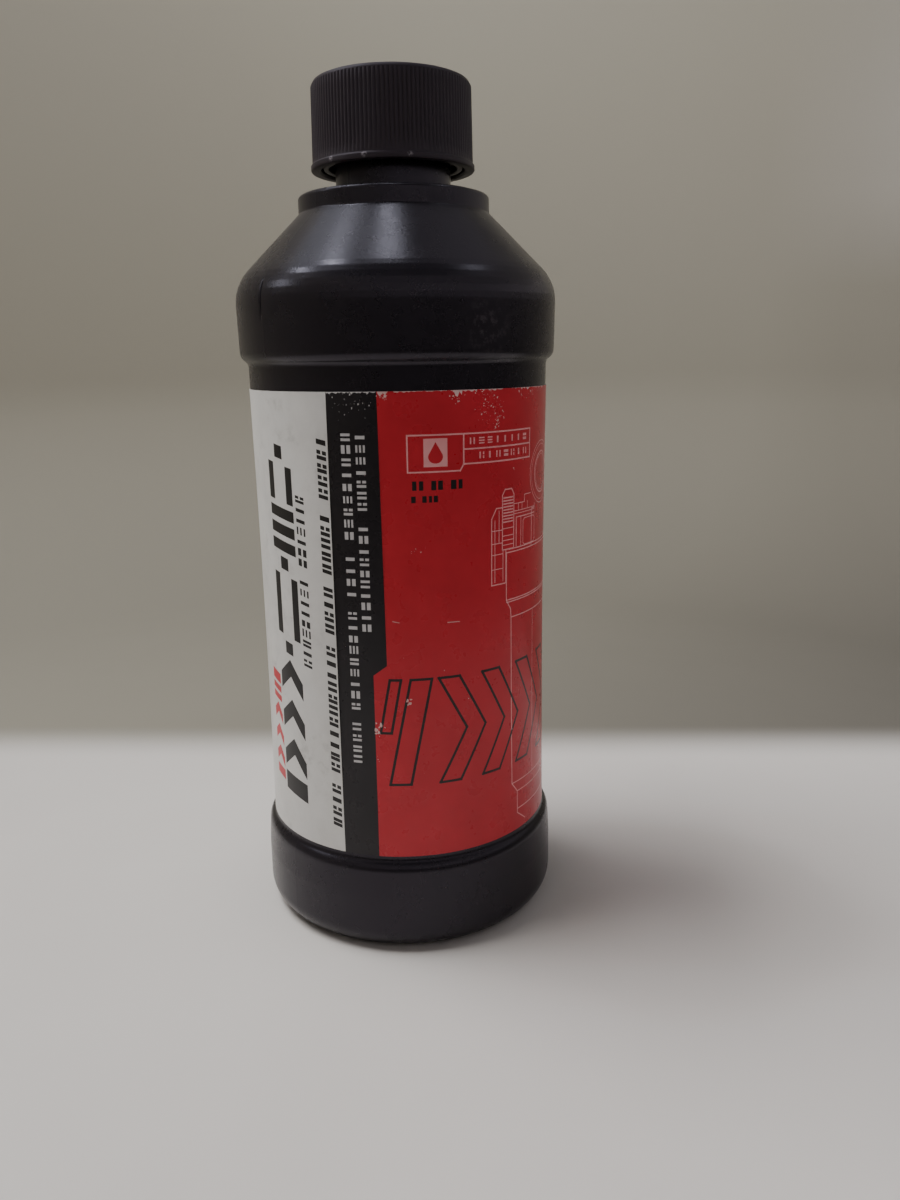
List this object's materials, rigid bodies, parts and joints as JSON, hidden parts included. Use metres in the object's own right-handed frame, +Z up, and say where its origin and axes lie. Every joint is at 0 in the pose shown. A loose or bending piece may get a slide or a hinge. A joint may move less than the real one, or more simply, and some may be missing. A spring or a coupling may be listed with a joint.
{
  "type": "suspension fluid bottle",
  "caption": "Round blow-moulded fluid bottle with a wrap-around label, a collared cone shoulder and a ribbed two-piece push-and-turn screw cap.",
  "frame": {"origin": "centre of the bottle's foot, on the surface it stands on", "axes": "+Z up along the bottle's axis, -Y out of the front of the label, the label's seam at +Y"},
  "size_m": [0.0716, 0.0716, 0.1885],
  "materials": {
    "bottle_plastic": "satin",
    "label_film": "satin",
    "fluid": "gloss",
    "inner_cap_plastic": "satin",
    "outer_cap_plastic": "satin",
    "liner_foam": "matte"
  },
  "bodies": {
    "bottle_body": {"bottle": "bottle_plastic", "label": "label_film", "fluid_fill": "fluid"},
    "liner_body": {"cap_liner": "liner_foam"},
    "inner_cap_body": {"inner_cap": "inner_cap_plastic"},
    "outer_cap_body": {"outer_cap": "outer_cap_plastic"}
  },
  "joints": [
    {"name": "cap_rise", "type": "slide", "parent": "bottle_body", "child": "liner_body", "axis": [0, 0, 1], "range_m": [0, 0.0213]},
    {"name": "cap_turn", "type": "hinge", "parent": "liner_body", "child": "inner_cap_body", "pos_m": [0, 0, 0.1824], "axis": [0, 0, 1], "range_deg": [0, 1800]},
    {"name": "cap_push", "type": "slide", "parent": "inner_cap_body", "child": "outer_cap_body", "axis": [0, 0, 1], "range_m": [-0.0013, 0], "stiffness_N_per_m": 2000}
  ],
  "couplings": [
    {"joint": "cap_rise", "follows": "cap_turn", "m_per_rad": 0.00067375}
  ]
}
